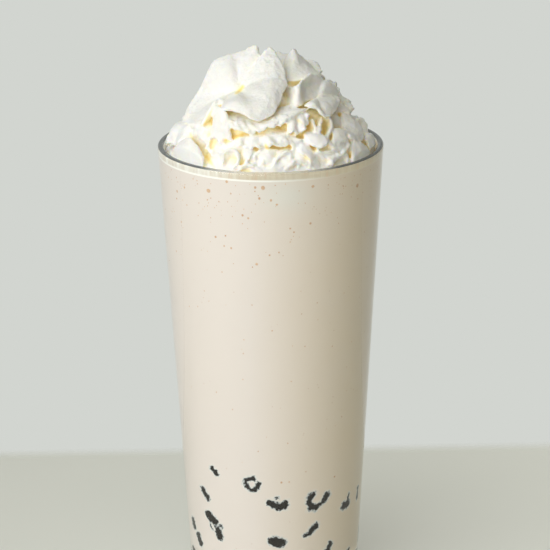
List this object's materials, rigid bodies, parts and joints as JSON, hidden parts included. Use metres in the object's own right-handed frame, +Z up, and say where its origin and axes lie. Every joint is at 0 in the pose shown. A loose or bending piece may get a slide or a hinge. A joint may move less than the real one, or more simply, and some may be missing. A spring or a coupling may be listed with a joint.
{
  "type": "bubble tea",
  "caption": "Tall tapered tumbler filled to just under the rim with milk tea, topped with a heap of piped, ruffled whipped cream; dark tapioca pearls lie at the bottom",
  "frame": {"origin": "centre of the foot, on the surface the glass stands on", "axes": "+Z is up, along the glass's axis; +Y points away from the side that is seen, and +X to its right"},
  "size_m": [0.0838, 0.0838, 0.2127],
  "materials": {
    "glass": "clear, smooth",
    "milk_tea": "opaque milky liquid, beige",
    "whipped_cream": "soft satin whipped cream"
  },
  "bodies": {
    "root": {"glass": "glass", "milk_tea": "milk_tea", "whipped_cream": "whipped_cream"}
  },
  "joints": []
}
